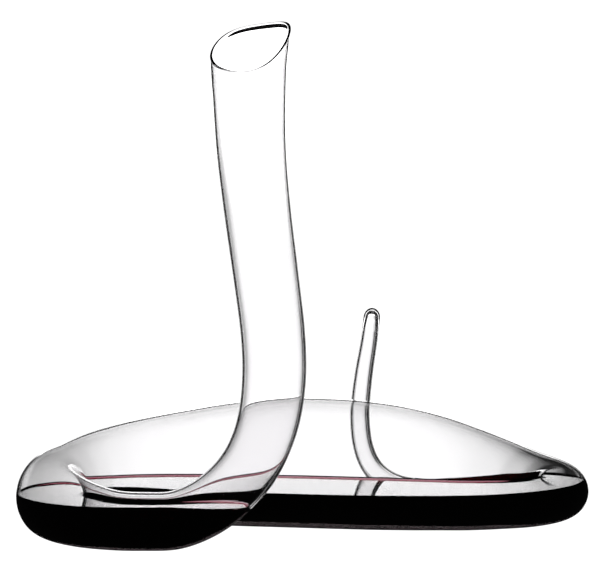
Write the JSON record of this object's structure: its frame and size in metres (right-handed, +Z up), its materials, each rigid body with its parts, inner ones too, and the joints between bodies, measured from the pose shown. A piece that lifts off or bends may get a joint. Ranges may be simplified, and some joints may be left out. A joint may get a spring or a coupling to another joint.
{
  "type": "wine decanter",
  "caption": "Serpentine blown-glass decanter with a tall curved neck, slanted mouth, lying bowl and upright sealed tail, holding a shallow pool of red wine.",
  "frame": {"origin": "on the table, under the middle of the whole decanter's bounding box", "axes": "+X along the bowl towards its narrow end, +Y from the neck across the bowl to the tail, +Z up from the table"},
  "size_m": [0.409, 0.2007, 0.35],
  "materials": {
    "clear_glass": "fire-polished, clear and colourless",
    "red_wine": "still liquid, deep red, nearly black in depth"
  },
  "bodies": {
    "root": {"rim": "clear_glass", "neck": "clear_glass", "throat": "clear_glass", "front_limb": "clear_glass", "left_bend": "clear_glass", "bowl": "clear_glass", "right_bend": "clear_glass", "tail_limb": "clear_glass", "tail": "clear_glass", "tail_tip": "clear_glass", "wine": "red_wine"}
  },
  "joints": []
}
